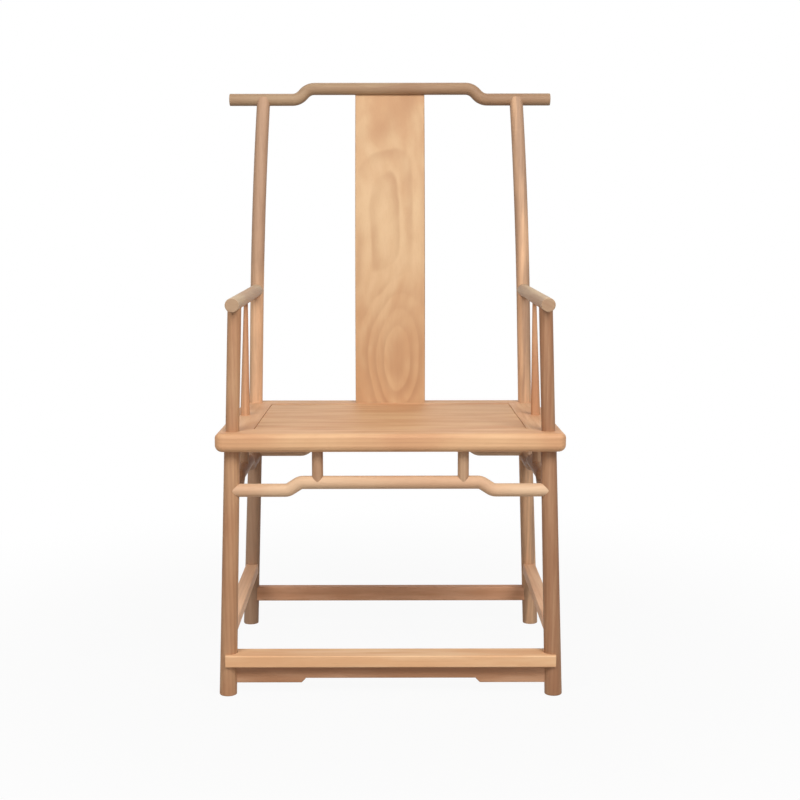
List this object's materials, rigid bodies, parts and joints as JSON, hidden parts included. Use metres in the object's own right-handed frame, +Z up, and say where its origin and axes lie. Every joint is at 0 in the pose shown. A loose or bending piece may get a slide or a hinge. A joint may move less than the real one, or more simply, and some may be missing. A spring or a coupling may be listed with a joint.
{
  "type": "yoke-back armchair",
  "caption": "Wooden armchair with a humped crest rail overhanging the back posts, a bent splat, round arms and legs, humped stretchers and a low foot rail.",
  "frame": {"origin": "on the floor, under the middle of the whole chair's outline", "axes": "+Z up, the sitter faces -Y, +X to the right seen from the front"},
  "size_m": [0.672, 0.53, 1.1467],
  "materials": {
    "round_wood": "satin",
    "board_wood": "satin",
    "rail_wood": "satin"
  },
  "bodies": {
    "root": {"crest_rail": "round_wood", "back_splat": "board_wood", "leg_front_left": "round_wood", "leg_front_right": "round_wood", "leg_rear_left": "round_wood", "leg_rear_right": "round_wood", "seat_rail_front": "rail_wood", "seat_rail_right": "rail_wood", "seat_rail_rear": "rail_wood", "seat_rail_left": "rail_wood", "seat_panel": "board_wood", "seat_batten_left": "rail_wood", "seat_batten_right": "rail_wood", "humpback_front": "round_wood", "humpback_right": "round_wood", "humpback_rear": "round_wood", "humpback_left": "round_wood", "strut_front_left": "round_wood", "strut_front_right": "round_wood", "strut_rear_left": "round_wood", "strut_rear_right": "round_wood", "strut_left": "round_wood", "strut_right": "round_wood", "foot_rail": "rail_wood", "foot_apron": "rail_wood", "foot_stretcher_left": "rail_wood", "foot_stretcher_right": "rail_wood", "foot_stretcher_rear": "rail_wood", "arm_left": "round_wood", "arm_right": "round_wood", "arm_spindle_left": "round_wood", "arm_spindle_right": "round_wood"}
  },
  "joints": []
}
